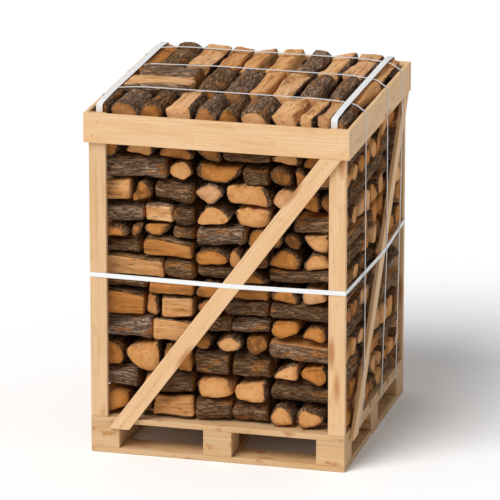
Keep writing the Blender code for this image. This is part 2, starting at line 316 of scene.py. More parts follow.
class StageLayout(bpy.types.PropertyGroup):
    turn: FloatProperty(
        name="Turn", description="How far the camera stands round to the right", subtype="ANGLE",
        default=math.radians(14.5))
    rise: FloatProperty(
        name="Rise", description="How far the camera looks down", subtype="ANGLE",
        default=math.radians(17.1))
    distance: FloatProperty(
        name="Distance", description="From the camera to the crate", default=20.0, unit="LENGTH")
    lens: FloatProperty(name="Lens", description="Focal length in millimetres", default=372.0)
    sky: FloatProperty(name="Sky", description="Strength of the surrounding light", default=0.42)
    key: FloatProperty(name="Key", description="Strength of the soft lamp", default=2.65)


def settings(name):
    return getattr(bpy.context.scene, name)


# Node trees

def add_node(tree, kind, inputs=(), **values):
    """A node with its settings made and its inputs, pairs of socket and value, set or linked."""
    node = tree.nodes.new(kind)
    for name, value in values.items():
        setattr(node, name, value)
    for socket, value in inputs:
        if isinstance(value, bpy.types.NodeSocket):
            tree.links.new(value, node.inputs[socket])
        else:
            node.inputs[socket].default_value = value
    return node


def mixed(tree, factor, first, second):
    """Two colours mixed. Each is a socket or three numbers."""
    first, second = [c if isinstance(c, bpy.types.NodeSocket) else (*c, 1.0) for c in (first, second)]
    node = add_node(tree, "ShaderNodeMix", ((0, factor), (6, first), (7, second)), data_type="RGBA")
    return node.outputs[2]


def calculated(tree, operation, *values):
    return add_node(tree, "ShaderNodeMath", tuple(enumerate(values)), operation=operation).outputs[0]


def product(tree, first, second):
    return calculated(tree, "MULTIPLY", first, second)


def vector_result(tree, operation, output, *values):
    node = add_node(tree, "ShaderNodeVectorMath", tuple(enumerate(values)), operation=operation)
    return node.outputs[output]


def ranged(tree, value, low, high, to_low=0.0, to_high=1.0):
    return add_node(tree, "ShaderNodeMapRange", (
        (0, value), (1, low), (2, high), (3, to_low), (4, to_high))).outputs[0]


def tinted(tree, colour, paint, mask, low, high, most=1.0):
    """A colour painted over by as much as the mask has passed from low to high."""
    return mixed(tree, ranged(tree, mask, low, high, 0.0, most), colour, paint)


def stretched(tree, place, scale, shift=(0, 0, 0)):
    return add_node(tree, "ShaderNodeMapping", (
        ("Vector", place), ("Scale", scale), ("Location", shift))).outputs[0]


def noise(tree, place, scale, detail=3.0, roughness=0.55, distortion=0.0, shift=(0, 0, 0)):
    """Noise over a place, with its own scale along each axis."""
    return add_node(tree, "ShaderNodeTexNoise", (
        ("Vector", stretched(tree, place, scale, shift)), ("Scale", 1.0), ("Detail", detail),
        ("Roughness", roughness), ("Distortion", distortion))).outputs[0]


def lines_of(tree, field):
    """How far a noise is from its middle value, which it crosses along thin wandering lines."""
    return calculated(tree, "ABSOLUTE", calculated(tree, "SUBTRACT", field, 0.5))


def new_material(name, roughness, specular):
    made = bpy.data.materials.new(name)
    made.use_nodes = True
    shader = made.node_tree.nodes["Principled BSDF"]
    shader.inputs["Roughness"].default_value = roughness
    shader.inputs["Specular IOR Level"].default_value = specular
    return made, made.node_tree, shader


def finish_material(tree, shader, colour, height, depth, strength):
    """Gives the shader its colour and its bump."""
    tree.links.new(colour, shader.inputs["Base Color"])
    bump = add_node(tree, "ShaderNodeBump", (
        ("Strength", strength), ("Distance", depth), ("Height", height)))
    tree.links.new(bump.outputs[0], shader.inputs["Normal"])


def log_inputs(tree):
    """The place along and across a log, and its three tones: bark, pinkness and wood."""
    place, tones = [add_node(tree, "ShaderNodeAttribute", attribute_name=name).outputs["Vector"]
                    for name in ("log_place", "log_tone")]
    return place, add_node(tree, "ShaderNodeSeparateXYZ", ((0, tones),)).outputs


def wood_colour(tree, sizes, tones, mottle, darker, lighter):
    """Dark brown through orange to light tan, mottled by a noise, and pinker where the log is."""
    pink, wood = tones[1:]
    shade = calculated(tree, "ADD", wood, ranged(tree, mottle, 0.3, 0.7, darker, lighter))
    colour = tinted(tree, sizes.wood_dark, sizes.wood_orange, shade, 0.0, 0.4)
    colour = tinted(tree, colour, sizes.wood_light, shade, 0.4, 1.0)
    pale = tinted(tree, sizes.wood_dark, PALE_WOOD, shade, 0.0, 1.0)
    return tinted(tree, colour, pale, pink, 0.0, 1.0, 0.50)


def bark_material(sizes):
    """Ridged plates parted by dark furrows along the log, paler on the crests and rusty in patches. The
    dark furrows are partly painted shade and the pale crests partly a painted highlight, besides the
    bark's own grit, patches and tone.
    """
    made, tree, shader = new_material("bark", 0.90, 0.10)
    place, tones = log_inputs(tree)
    bark, pink = tones[:2]
    plates = ranged(tree, lines_of(tree, noise(tree, place, (15, 92, 92), 3.0, 0.55, 0.35)), 0.0, 0.10)
    grit = noise(tree, place, (85, 260, 260), 4.0, 0.62, 0.3)
    patches = noise(tree, place, (10, 18, 18), 2.0, 0.5)
    # Painted light: crests painted paler as a highlight and furrows darker as shade, then varied by the
    # bark's own grit, tone and patches
    crest_highlight_furrow_shade_and_wear = ranged(tree, plates, 0.0, 1.0, 0.02, 0.85)
    for value, low, high, least, most in (
            (grit, 0.34, 0.66, 0.32, 1.1), (bark, 0.0, 1.0, 0.50, 1.15),
            (patches, 0.30, 0.70, 0.65, 1.30)):
        crest_highlight_furrow_shade_and_wear = product(tree, crest_highlight_furrow_shade_and_wear, ranged(tree, value, low, high, least, most))
    colour = mixed(tree, crest_highlight_furrow_shade_and_wear, sizes.bark_dark, sizes.bark_light)
    grey = mixed(tree, crest_highlight_furrow_shade_and_wear, GREY_FURROW, GREY_RIDGE)
    colour = tinted(tree, colour, grey, pink, 0.0, 1.0, 0.8)
    rust = tinted(tree, RUST_DARK, RUST_LIGHT, grit, 0.36, 0.64)
    flakes = noise(tree, place, (10, 30, 30), 3.0, 0.6)
    colour = tinted(tree, colour, rust, flakes, 0.58, 0.63, 0.80)
    finish_material(tree, shader, colour, calculated(tree, "ADD", plates, grit), 0.0030, 0.9)
    return made


def split_material(sizes):
    """Fibres along the log, stained in patches and parted by short seams."""
    made, tree, shader = new_material("split_wood", 0.78, 0.18)
    place, tones = log_inputs(tree)
    grain = noise(tree, place, (7, 330, 330), 4.0, 0.65, 0.3)
    bands = noise(tree, place, (4.5, 70, 70), 3.0, 0.6, 0.6)
    stains = noise(tree, place, (7, 34, 34), 3.0, 0.6)
    seams = lines_of(tree, noise(tree, place, (1.1, 58, 58), 2.0, 0.6, shift=(7, 3, 5)))
    broken = noise(tree, place, (26, 30, 30), 2.0, 0.5)
    colour = wood_colour(tree, sizes, tones, bands, -0.24, 0.18)
    colour = tinted(tree, colour, sizes.wood_orange, stains, 0.50, 0.60, 0.60)
    colour = tinted(tree, colour, FIBRE_BROWN, grain, 0.52, 0.74, 0.55)
    colour = tinted(tree, colour, STAIN_BROWN, stains, 0.62, 0.72, 0.55)
    split = product(tree, ranged(tree, seams, 0.0, 0.022, 0.85, 0.0), ranged(tree, broken, 0.46, 0.58))
    colour = mixed(tree, split, colour, SEAM_BROWN)
    height = calculated(tree, "SUBTRACT", calculated(tree, "ADD", grain, bands), split)
    finish_material(tree, shader, colour, height, 0.0020, 0.7)
    return made


def end_material(sizes):
    """Year rings and fine cracks round the pith, with saw marks and blotches."""
    made, tree, shader = new_material("sawn_end", 0.85, 0.15)
    place, tones = log_inputs(tree)
    x, across, up = add_node(tree, "ShaderNodeSeparateXYZ", ((0, place),)).outputs
    flat = add_node(tree, "ShaderNodeCombineXYZ", ((1, across), (2, up))).outputs[0]
    reach = vector_result(tree, "LENGTH", 1, flat)
    wander = ranged(tree, noise(tree, flat, (55, 55, 55), 2.0, 0.5), 0.0, 1.0, -0.003, 0.003)
    rings = calculated(tree, "SINE", product(tree, calculated(tree, "ADD", reach, wander), 1500.0))
    angle = calculated(tree, "ARCTAN2", up, across)
    spokes = add_node(tree, "ShaderNodeCombineXYZ", ((0, product(tree, angle, 5.0)), (1, x))).outputs[0]
    cracks = lines_of(tree, noise(tree, spokes, (1.6, 1.6, 1.6), 1.0, 0.4))
    cracks = product(tree, cracks, product(tree, reach, 25.0))
    sawn = noise(tree, place, (40, 150, 420), 2.0, 0.5)
    blotch = noise(tree, place, (34, 34, 34), 3.0, 0.6)
    colour = wood_colour(tree, sizes, tones, blotch, -0.26, 0.14)
    colour = tinted(tree, colour, sizes.wood_orange, rings, 0.2, 1.0, 0.30)
    colour = tinted(tree, colour, sizes.wood_orange, blotch, 0.52, 0.62, 0.5)
    colour = tinted(tree, colour, BLOTCH_BROWN, blotch, 0.62, 0.74, 0.6)
    colour = mixed(tree, ranged(tree, cracks, 0.0, 0.004, 0.55, 0.0), colour, CRACK_BROWN)
    finish_material(tree, shader, colour, calculated(tree, "ADD", sawn, cracks), 0.0012, 0.5)
    return made


def board_grain(name):
    """The direction of a board's grain, which in a brace follows its slope."""
    kind = name.split("_")[0]
    low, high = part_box(name)
    size = high - low
    if kind == "post":
        return GRAIN_Z
    if kind == "brace" and size.x > size.y:
        return (size.x - BRACE_FOOT, 0, size.z)
    if kind == "brace":
        return (0, size.y - BRACE_FOOT, size.z)
    return GRAIN_X if kind == "block" or size.x > size.y else GRAIN_Y


def board_axes(tree, name):
    """Distances from a board's middle along and across its grain, and how far a face looks along it."""
    low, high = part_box(name)
    along = Vector(board_grain(name)).normalized()
    side = along.cross(Vector((0.31, 0.87, 0.38))).normalized()
    place = add_node(tree, "ShaderNodeTexCoord").outputs["Object"]
    place = vector_result(tree, "SUBTRACT", 0, place, (low + high) / 2)
    axes = [vector_result(tree, "DOT_PRODUCT", 1, place, axis)
            for axis in (along, side, along.cross(side))]
    normal = add_node(tree, "ShaderNodeNewGeometry").outputs["Normal"]
    facing = calculated(tree, "ABSOLUTE", vector_result(tree, "DOT_PRODUCT", 1, normal, along))
    return axes, facing


def ringed_paint(tree, axes, pith, mottle, base, warm):
    """The paint of a board's sawn ends: year rings round the pith, strayed a little by a noise."""
    section = add_node(tree, "ShaderNodeCombineXYZ", ((1, axes[1]), (2, axes[2]))).outputs[0]
    reach = vector_result(tree, "DISTANCE", 1, section, pith)
    reach = calculated(tree, "ADD", reach, ranged(tree, mottle, 0.0, 1.0, 0.0, 0.010))
    rings = calculated(tree, "SINE", product(tree, reach, TURN / END_RING))
    return tinted(tree, [c * 0.95 for c in base], [c * 0.88 for c in warm], rings, -0.4, 1.0)


def pine_material(name, look, colour, wear, dice):
    """Sawn pine for one board, whose year lines run along the grain and ring its sawn ends."""
    made, tree, shader = new_material(f"pine_{name}", 0.62, 0.3)
    knotty, stained = wear
    shift = [dice.uniform(0, 9) for axis in range(3)]
    # Each board's tone differs at random; the posts are also painted 7 % darker as shade, since they
    # stand behind the rails
    tone = dice.uniform(0.94, 1.04) * (0.93 if name.startswith("post") else 1.0)
    pith = (0.0, dice.uniform(-0.05, 0.05), dice.uniform(0.06, 0.10))
    base = [tone * channel for channel in colour]
    warm = [base[0] * 0.93, base[1] * 0.80, base[2] * 0.62]
    axes, facing = board_axes(tree, name)
    board = add_node(tree, "ShaderNodeCombineXYZ", tuple(enumerate(axes))).outputs[0]
    waves, mottle, streaks, fibre, stains = [
        noise(tree, board, scale, detail, roughness, shift=shift) for scale, detail, roughness in (
            ((1.6, 11, 11), 2.0, 0.5), ((3, 22, 22), 2.0, 0.5), ((4, 75, 75), 3.0, 0.6),
            ((9, 420, 420), 3.0, 0.6), ((16, 34, 34), 2.0, 0.55))]
    lines = calculated(tree, "SINE", calculated(
        tree, "ADD", product(tree, waves, 0.055 * TURN / look.grain_spacing),
        product(tree, axes[1], TURN / look.grain_spacing)))
    knots = add_node(tree, "ShaderNodeTexVoronoi", (
        ("Vector", stretched(tree, board, knotty, shift)), ("Scale", 1.0),
        ("Randomness", 1.0))).outputs[0]
    paint = tinted(tree, base, warm, lines, -0.2, 1.0, 0.50)
    paint = tinted(tree, paint, warm, mottle, 0.42, 0.66, 0.62)
    paint = tinted(tree, paint, [c * 0.82 for c in warm], streaks, 0.54, 0.70, 0.50)
    paint = tinted(tree, paint, [c * 0.78 for c in warm], fibre, 0.50, 0.78, 0.45)
    paint = mixed(tree, ranged(tree, knots, 0.08, 0.21, 0.8, 0.0), paint, KNOT_BROWN)
    paint = tinted(tree, paint, BOARD_STAIN, stains, 0.60, 0.68, stained)
    ends = ringed_paint(tree, axes, pith, mottle, base, warm)
    finish_material(tree, shader, tinted(tree, paint, ends, facing, 0.6, 0.9), fibre, 0.0006, 0.35)
    return made


def strap_material(name, colour):
    """Woven polyester: yarns along the strap, from the place that the sweep stores. The weave's crossings
    are painted darker as shade between the yarns, and dirt darkens it in long patches.
    """
    made, tree, shader = new_material(name, 0.42, 0.45)
    place = add_node(tree, "ShaderNodeAttribute", attribute_name="strap_place").outputs["Vector"]
    along, across = add_node(tree, "ShaderNodeSeparateXYZ", ((0, place),)).outputs[:2]
    yarns = calculated(tree, "SINE", product(tree, across, TURN * 7))
    weft = calculated(tree, "SINE", product(tree, along, TURN / 0.004))
    weave = product(tree, yarns, weft)
    dirt = noise(tree, place, (12, 3, 1), 3.0, 0.6)
    # A darker copy of the strap's colour: painted shade at the weave's crossings, and also the tint of
    # the dirt
    shade = [channel * 0.80 for channel in colour]
    # Painted shade: the weave's crossings darkened
    paint = tinted(tree, colour, shade, weave, -1.0, 1.0, 0.35)
    paint = tinted(tree, paint, shade, dirt, 0.50, 0.75, 0.35)
    finish_material(tree, shader, paint, calculated(tree, "ADD", yarns, weave), 0.0004, 0.5)
    return made


# Logs

def value_noise(points, seed):
    """Smooth noise from -1 to 1 at each of an array of points."""
    cell = np.floor(points).astype(np.int64)
    local = points - cell
    fade = local * local * (3 - 2 * local)
    total = np.zeros(len(points))
    for corner in itertools.product((0, 1), repeat=3):
        x, y, z = (cell + corner).T
        mash = (x * 374761393 + y * 668265263 + z * 1442695041 + seed * 974634777) & 0xFFFFFFFF
        mash = ((mash ^ (mash >> 13)) * 1274126177) & 0xFFFFFFFF
        mash = mash ^ (mash >> 16)
        weight = np.prod(np.where(corner, fade, 1 - fade), axis=1)
        total += weight * (mash / 0xFFFFFFFF)
    return 2 * total - 1


def outline_points(dice, log, count):
    """A section's outline in a unit box, which of its faces are bark, and its pith."""
    corners, pith = SECTIONS[log["shape"]]
    loose = [
        (x + dice.uniform(-0.11, 0.11), y + dice.uniform(-0.11, 0.11),
         bulge * dice.uniform(0.3, 1.6), bark) for x, y, bulge, bark in corners]
    sides = [(a, b, math.dist(a[:2], b[:2])) for a, b in zip(loose, loose[1:] + loose[:1])]
    around = sum(length for a, b, length in sides)
    points, is_bark = [], []
    for (ax, ay, bulge, bark), (bx, by, *rest), length in sides:
        share = max(2, round(count * length / around))
        for step in range(share):
            t = step / share
            out = bulge * math.sin(math.pi * t) / length
            points.append((ax + (bx - ax) * t + (by - ay) * out, ay + (by - ay) * t - (bx - ax) * out))
            is_bark.append(float(bark))
    points, is_bark, pith = np.array(points), np.array(is_bark), np.array(pith)
    if log["flip"]:
        points, is_bark, pith = points[::-1] * (-1, 1), np.roll(is_bark[::-1], -1), pith * (-1, 1)
    angle = log["turns"] * TURN / 4 + dice.uniform(-0.30, 0.30)
    turn = np.array(((math.cos(angle), math.sin(angle)), (-math.sin(angle), math.cos(angle))))
    points, pith = points @ turn, pith @ turn
    for smoothing in range(2):
        points = 0.5 * points + 0.25 * (np.roll(points, 1, 0) + np.roll(points, -1, 0))
    low, high = points.min(0), points.max(0)
    return (points - low) / (high - low) - 0.5, is_bark, (pith - low) / (high - low) - 0.5


class Pile:
    """Collects the meshes of many logs for one piece."""

    def __init__(self):
        self.vertices, self.places, self.tones = [], [], []
        self.faces, self.finishes = [], []
        self.count = 0

    def add(self, vertices, places, tones, faces, finishes):
        self.faces += [[index + self.count for index in face] for face in faces]
        self.finishes += finishes
        self.vertices.append(vertices)
        self.places.append(places)
        self.tones.append(tones)
        self.count += len(vertices)

    def build(self, name, node, materials):
        mesh = bpy.data.meshes.new(name)
        mesh.from_pydata(np.concatenate(self.vertices).tolist(), [], self.faces)
        mesh.polygons.foreach_set("material_index", self.finishes)
        for attribute, values in (("log_place", self.places), ("log_tone", self.tones)):
            layer = mesh.attributes.new(attribute, "FLOAT_VECTOR", "POINT")
            layer.data.foreach_set("vector", np.concatenate(values).astype(np.float32).ravel())
        for material in materials:
            mesh.materials.append(material)
        mesh.shade_smooth()
        mesh.set_sharp_from_angle(angle=LOG_CREASE)
        return place_piece(mesh, name, "firewood", node)


def new_object(name, data):
    made = bpy.data.objects.new(name, data)
    bpy.context.scene.collection.objects.link(made)
    return made


def place_piece(mesh, name, slot, *nodes):
    """A finished mesh as a piece that rides on the crate and stands for CAD nodes."""
    piece = new_object(name, mesh)
    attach(piece, BODY)
    if nodes:
        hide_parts(*nodes)
    return piece


BARK, SPLIT, END = 0, 1, 2

# Points round a log and stations along it: hidden, on the sides or back, in front or on top
MESHING = ((12, 3), (30, 15), (38, 22))


def long_section(dice, length, girth, rings):
    """Stations along a log and its girth at each: chopped ends, a slight taper and swellings."""
    chops = [dice.uniform(0.003, 0.008) for end in range(2)]
    ends = ((0.0, 2.0), (0.003, 0.9), (0.011, 0.0))
    left = [(-length / 2 + into, chops[0] * drop) for into, drop in ends]
    right = [(length / 2 - into, chops[1] * drop) for into, drop in ends[::-1]]
    between = [(at, 0.0) for at in np.linspace(-length / 2 + 0.011, length / 2 - 0.011, rings)[1:-1]]
    stations, drops = np.array(left + between + right).T
    phase, taper = dice.uniform(0, TURN), dice.uniform(-0.08, 0.08)
    swell = 0.035 * np.sin(stations / length * 5.0 + phase) + taper * stations / length
    return stations, 0.965 + swell - abs(taper) / 2 - drops / girth


def swept_section(dice, log, section, stations, girth):
    """A section carried along a log that twists and bows a little: a ring of points at each station."""
    length, width, height = log["size"]
    twist = dice.uniform(-0.18, 0.18) * stations / length
    bow = [0.022 * width * np.sin(stations / length * 3.0 + dice.uniform(0, TURN)) for axis in range(2)]
    wide, high = section[:, 0][None, :] * width, section[:, 1][None, :] * height
    turned, straight = np.sin(twist)[:, None], np.cos(twist)[:, None]
    across = (wide * straight - high * turned) * girth[:, None] + bow[0][:, None]
    up = (wide * turned + high * straight) * girth[:, None] + bow[1][:, None]
    along = np.repeat(stations[:, None], len(section), axis=1)
    return np.stack((along, across, up), axis=2).reshape(-1, 3)


def carve(points, barky, length, sizes, offset, seed):
    """Moves the points in and out: furrows and lumps in the bark, facets and fibres on split faces."""
    cells = ((0.060, 0.017, 0.017), (0.034, 0.022, 0.022), (0.090, 0.030, 0.030), (0.080, 0.013, 0.013))
    folds, lumps, facets, fibres = [
        value_noise(points / cell + offset, seed + n) for n, cell in enumerate(cells)]
    furrows = 1 - 2 * np.abs(folds)
    relief = barky * sizes.bark_relief * (0.7 * furrows + 0.6 * lumps + 0.4 * facets - 0.7)
    relief += (1 - barky) * sizes.split_relief * (0.8 * facets + 0.35 * fibres + 0.2 * lumps - 0.5)
    whole = np.clip((length / 2 - np.abs(points[:, 0])) / 0.016, 0.5, 1.0)
    outward = points[:, 1:] / np.maximum(np.linalg.norm(points[:, 1:], axis=1), 1e-6)[:, None]
    points[:, 1:] += outward * (relief * whole)[:, None]


def side_faces(rings, is_bark):
    """The faces between a log's rings of points, and whether each is bark or split wood."""
    around = len(is_bark)
    faces, finishes = [], []
    for start in range(0, (rings - 1) * around, around):
        for n, bark in enumerate(is_bark):
            after = (n + 1) % around
            faces.append((start + n, start + after, start + around + after, start + around + n))
            finishes.append(BARK if bark else SPLIT)
    return faces, finishes


def close_ends(points, around, offset, seed):
    """A log's points with an inner ring and a hub at each end, and the faces of its sawn ends."""
    closed, faces, total = [points], [], len(points)
    for side, start in ((-1, 0), (1, total - around)):
        rim = points[start:start + around]
        middle = rim.mean(0)
        inner = middle + (rim - middle) * 0.55
        inner[:, 0] += side * (0.0012 + 0.0022 * value_noise(inner * 60 + offset, seed + 4))
        hub = middle + (side * 0.0016, 0, 0)
        closed += [inner, hub[None, :]]
        for n in range(around):
            after = (n + 1) % around
            outer = [start + n, start + after, total + after, total + n]
            core = [total + n, total + after, total + around]
            faces += [outer, core] if side == 1 else [outer[::-1], core[::-1]]
        total += around + 1
    return np.concatenate(closed), faces


def put_down(dice, points, log):
    """A log's points in the crate, with its ends cut askew and itself a little out of line."""
    slope = (dice.uniform(-0.10, 0.10), dice.uniform(-0.07, 0.07))
    points[:, 0] += (points[:, 1] * slope[0] + points[:, 2] * slope[1]) * np.sign(points[:, 0])
    points[:, 1] += points[:, 0] * dice.uniform(-0.020, 0.020)
    points[:, 2] += points[:, 0] * dice.uniform(-0.012, 0.012)
    if log["along"] == "y":
        points = points @ np.array(((0, 1, 0), (-1, 0, 0), (0, 0, 1)))
    return points + np.array(log["centre"])


def log_tones(dice, log, places, around, sides, seed):
    """The three tones at each point: mottled on the sawn ends and darker round their rims."""
    tone = [min(1.0, max(0.0, value + dice.uniform(-0.08, 0.08))) for value in TONES[log["tone"]]]
    tones = np.tile(tone, (len(places), 1))
    tones[sides:, 2] += 0.05 + 0.10 * value_noise(places[sides:] * 50, seed + 5)
    for start in (0, sides - around):
        tones[start:start + around, 2] -= 0.16
    return tones


def grow_log(pile, dice, sizes, log, limit):
    """Adds one log. limit takes the finished points and keeps them off the frame and the straps."""
    count, rings = MESHING[log["seen"]]
    section, is_bark, pith = outline_points(dice, log, count)
    around = len(section)
    length, width, height = log["size"]
    seed = dice.randrange(1 << 20)
    stations, girth = long_section(dice, length, min(width, height), rings)
    points = swept_section(dice, log, section, stations, girth)
    barky = np.tile(0.5 * (is_bark + np.roll(is_bark, 1)), len(stations))
    offset = np.array([dice.uniform(0, 50) for axis in range(3)])
    carve(points, barky, length, sizes, offset, seed)
    sides = len(points)
    faces, finishes = side_faces(len(stations), is_bark)
    points, ends = close_ends(points, around, offset, seed)
    places = points - (0, pith[0] * width, pith[1] * height) + (offset[0], 0, 0)
    world = put_down(dice, points, log)
    tones = log_tones(dice, log, places, around, sides, seed)
    pile.add(limit(settled(world, sizes)), places, tones, faces + ends, finishes + [END] * len(ends))


def settled(points, sizes):
    """The stack shifted by one smooth field, so that its layers and bays wander without parting."""
    cells = points / (0.17, 0.30, 0.115)
    x, y, z = points.T
    inward = np.clip((0.490 - np.abs(x)) / 0.10, 0, 1)
    level = np.clip((z - WOOD_BASE) / 0.06, 0, 1) * np.clip((WOOD_TOP - z) / 0.06, 0, 1)
    moved = points.copy()
    moved[:, 0] += 1.3 * sizes.wander * inward * value_noise(cells, sizes.seed)
    moved[:, 2] += sizes.wander * level * value_noise(cells + 40.5, sizes.seed + 1)
    return moved


def inside_crate(points):
    """Keeps logs behind the rails and braces, off the deck and off the wide straps."""
    x, y, z = points.T
    bulging = (x < 0) & (y < BULGE_BACK) & (z > BULGE_BASE) & (z < RAIL_BASE - 0.01)
    bulging &= np.abs(z - STRAP_LEVEL) > STRAP_CLEAR
    left = np.where(bulging, -RAIL_INNER - BULGE, -FACE_X)
    return np.stack((
        np.clip(x, left, FACE_X), np.clip(y, -FACE_Y, FACE_Y), np.maximum(z, WOOD_BASE)), axis=1)


def read_logs(line):
    """A line of the layout as (shape, tone, width in metres) for each log."""
    for entry in line.split("|"):
        shape, tone, width = entry.split()
        yield shape, tone, float(width) * MM


END_TONE = ("dark", "brown", "orange", "orange", "tan", "tan", "light", "light", "pale", "pink")
BARK_TONE = ("dark", "dark", "brown", "brown", "grey", "pale")
SPLIT_TONE = ("orange", "tan", "light", "light", "pale")
END_SHAPE = ("half", "bowl", "quarter", "wedge", "plank", "round", "round")


def lying_log(dice, face, tone, along, centre, size, quarter, seen):
    """A log whose bark or split side faces outside: up, turned by so many quarters."""
    if face == "bark":
        shape, turns = dice.choice((("half", 0), ("slab", 0), ("slab", 0), ("round", 0)))
    else:
        shape, turns = dice.choice((("half", 2), ("quarter", 2), ("plank", 0), ("slab", 2)))
    return {
        "shape": shape, "turns": turns + quarter, "flip": dice.random() < 0.5, "tone": tone,
        "along": along, "centre": centre, "size": size, "seen": seen,
    }


def laid(face_axis, side, inward, height):
    """A place from its distances along a face and into the stack. Faces look along y, or along x."""
    return (side, inward, height) if face_axis == "y" else (inward, side, height)


def logs_along(dice, sizes, box, entry, face_axis, outside, detail, pull):
    """A log along the face, with the face and tone that are given, and two more behind it."""
    (near, end), (d0, d1), middle, height = box
    face, tone = entry
    deep = (d1 - d0) / 3
    quarter = 3 if (outside > 0) == (face_axis == "y") else 1
    logs = []
    for row in range(3):
        shown = row == (2 if outside > 0 else 0)
        side = face if shown else dice.choice(("bark", "split"))
        mood = tone if shown else dice.choice(END_TONE)
        back = dice.uniform(0, 0.7 * sizes.stagger) * -outside
        centre = laid(face_axis, (near + end) / 2, d0 + (row + 0.5) * deep + back, middle)
        size = (end - near - sizes.gap - pull, deep - sizes.gap / 2, height)
        seen = detail if shown else min(detail, 1)
        along = "x" if face_axis == "y" else "y"
        logs.append(lying_log(dice, side, mood, along, centre, size, quarter, seen))
    return logs


def log_into(dice, sizes, box, entry, face_axis, outside, detail, pull):
    """A log that reaches into the stack and shows its end on the face."""
    (start, end), (d0, d1), middle, height = box
    shape, tone = entry
    centre = laid(face_axis, (start + end) / 2, (d0 + d1) / 2 - outside * pull, middle)
    name, turns = ("half", 2) if shape == "bowl" else (shape, 0)
    return {
        "shape": name, "turns": turns, "flip": dice.random() < 0.5, "tone": tone, "along": face_axis,
        "centre": centre, "size": (d1 - d0 - sizes.gap, end - start - sizes.gap, height),
        "seen": detail,
    }


def cell_logs(dice, sizes, box, line, face_axis, outside, detail, overhang=0.0):
    """One layer of one bay, read along the face that looks out along face_axis, to -1, 0 or 1.

    Logs named bark or split lie along that face, three deep. The others show their ends there.
    """
    (s0, s1), deep, (z0, z1) = box
    logs = []
    entries = list(read_logs(line))
    spread = (s1 - s0) / sum(width for shape, tone, width in entries)
    start = s0
    for index, (shape, tone, width) in enumerate(entries):
        end = start + width * spread
        height = (z1 - z0) * dice.uniform(0.94, 1.04)
        pull = dice.uniform(0, sizes.stagger)
        given = ((shape, tone), face_axis, outside, detail, pull)
        if shape in ("bark", "split"):
            near = start - overhang * dice.uniform(-0.4, 1.0) if index == 0 else start
            logs += logs_along(dice, sizes, ((near, end), deep, (z0 + z1) / 2, height), *given)
        else:
            logs.append(log_into(dice, sizes, ((start, end), deep, (z0 + z1) / 2, height), *given))
        start = end
    return logs


def random_line(dice):
    """A layer for a bay that the front doesn't show."""
    def lying(width):
        face = dice.choice(("bark", "bark", "split"))
        return f"{face} {dice.choice(BARK_TONE if face == 'bark' else SPLIT_TONE)} {width}"

    def standing():
        return f"{dice.choice(END_SHAPE)} {dice.choice(END_TONE)} {dice.randint(75, 125)}"

    kind = dice.choice(("long", "pair", "ends", "ends", "mixed", "mixed"))
    if kind == "long":
        return lying(300)
    if kind == "pair":
        return lying(dice.randint(130, 180)) + " | " + lying(150)
    if kind == "ends":
        return " | ".join(standing() for log in range(3))
    parts = [lying(dice.randint(150, 200)), standing()]
    dice.shuffle(parts)
    return " | ".join(parts)


def random_layers(dice):
    return [(dice.uniform(64, 98), random_line(dice)) for layer in range(dice.choice((14, 15, 15)))]


def stacked_logs(dice, sizes):
    """Every log between the pallet and the heaped layer."""
    fronts = (FRONT_LEFT, FRONT_MIDDLE, FRONT_RIGHT)
    logs = []
    for column in range(3):
        for row in range(3):
            layers = random_layers(dice) if row else fronts[column]
            span_x = ROW_BAYS[row][column:column + 2]
            span_y = COLUMN_BAYS[column][row:row + 2]
            detail = 2 if row == 0 else int((column, row) != (1, 1))
            sideways = row == 1 and column != 1
            scale = (WOOD_TOP - WOOD_BASE) / sum(height for height, line in layers)
            base = WOOD_BASE
            for height, line in layers:
                top = base + height * scale
                if sideways:
                    box = (span_y, span_x, (base, top))
                    logs += cell_logs(dice, sizes, box, line, "x", column - 1, detail)
                else:
                    box = (span_x, span_y, (base, top))
                    overhang = sizes.stagger if column == row == 0 else 0.0
                    logs += cell_logs(dice, sizes, box, line, "y", row - 1, detail, overhang)
                base = top
    return logs


def heap_height(x, y):
    """Height that the heaped logs reach: level in the middle, then falling to the edges."""
    across = np.maximum(0, np.abs(x) - 0.33) / 0.16
    along = np.maximum(0, np.abs(y) - 0.38) / 0.10
    return HEAP_CREST - 0.016 * across ** 2 - 0.006 * along


def under_straps(points):
    """Keeps the heaped logs inside the crate and below the straps that are pulled over them."""
    points = inside_crate(points)
    points[:, 2] = np.minimum(points[:, 2], heap_height(points[:, 0], points[:, 1]) - 0.0004)
    return points


def top_log(dice, sizes, face, tone, along, span_x, span_y):
    (x0, x1), (y0, y1) = span_x, span_y
    pulls = dice.uniform(0, sizes.stagger), dice.uniform(0, sizes.stagger)
    across, deep = x1 - x0, y1 - y0
    centre_x, centre_y = (x0 + x1) / 2, (y0 + y1) / 2
    crest = float(heap_height(np.array(centre_x), np.array(centre_y)))
    top = crest + 0.002 - dice.uniform(0, 0.006)
    size = (deep - sizes.gap - sum(pulls), across - sizes.gap / 2, top - WOOD_TOP + 0.004)
    if along == "x":
        size = (across - sizes.gap - sum(pulls), deep - sizes.gap / 2, size[2])
    centre = (centre_x, centre_y, top - size[2] / 2)
    return lying_log(dice, face, tone, along, centre, size, 0, 2)


